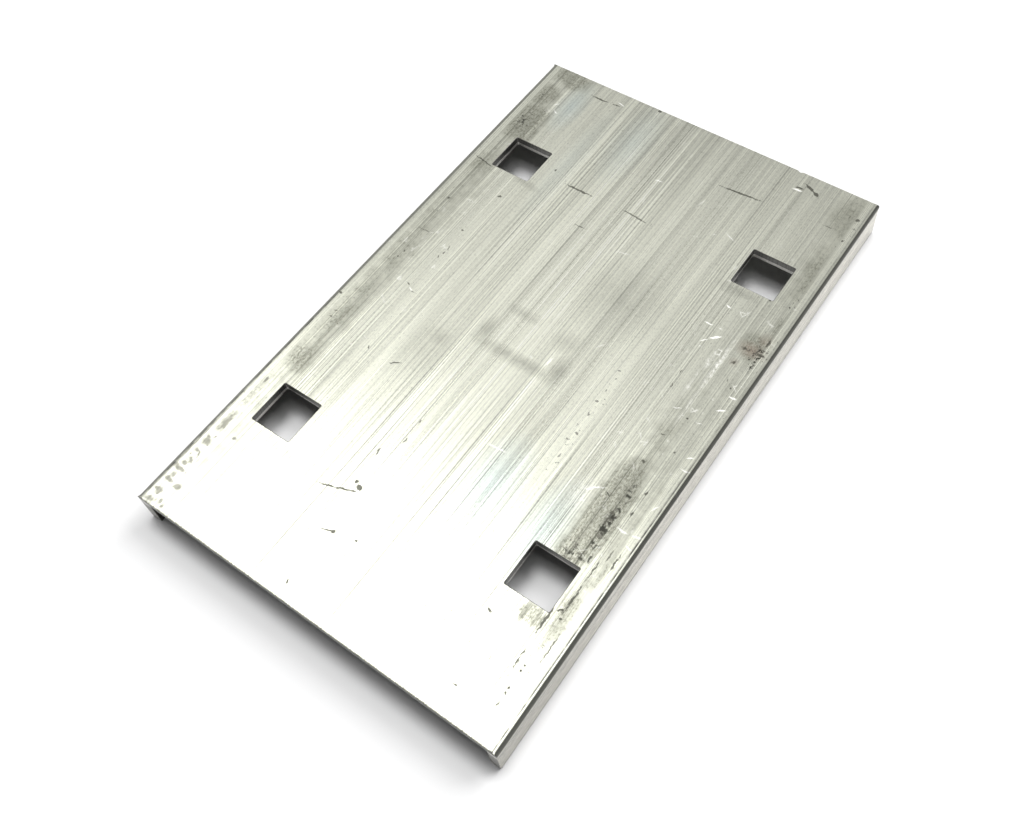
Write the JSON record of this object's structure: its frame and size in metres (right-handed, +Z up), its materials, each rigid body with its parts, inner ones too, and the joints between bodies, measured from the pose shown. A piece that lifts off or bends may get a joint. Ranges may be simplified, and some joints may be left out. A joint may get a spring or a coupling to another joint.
{
  "type": "rectangular cover plate",
  "caption": "Rectangular mill-finish aluminium cover plate: a shallow extruded channel with short side legs and square bolt holes near its corners.",
  "frame": {"origin": "centre of the plate in plan, on the plane that its two feet stand on", "axes": "+X across the width towards the right leg, +Y along the extrusion, +Z up out of the flat outer face"},
  "size_m": [0.0762, 0.1238, 0.0079],
  "materials": {
    "aluminium": "mill finish, extruded, with die lines along the length, scuffs and dirt"
  },
  "bodies": {
    "root": {"cover_plate": "aluminium"}
  },
  "joints": []
}
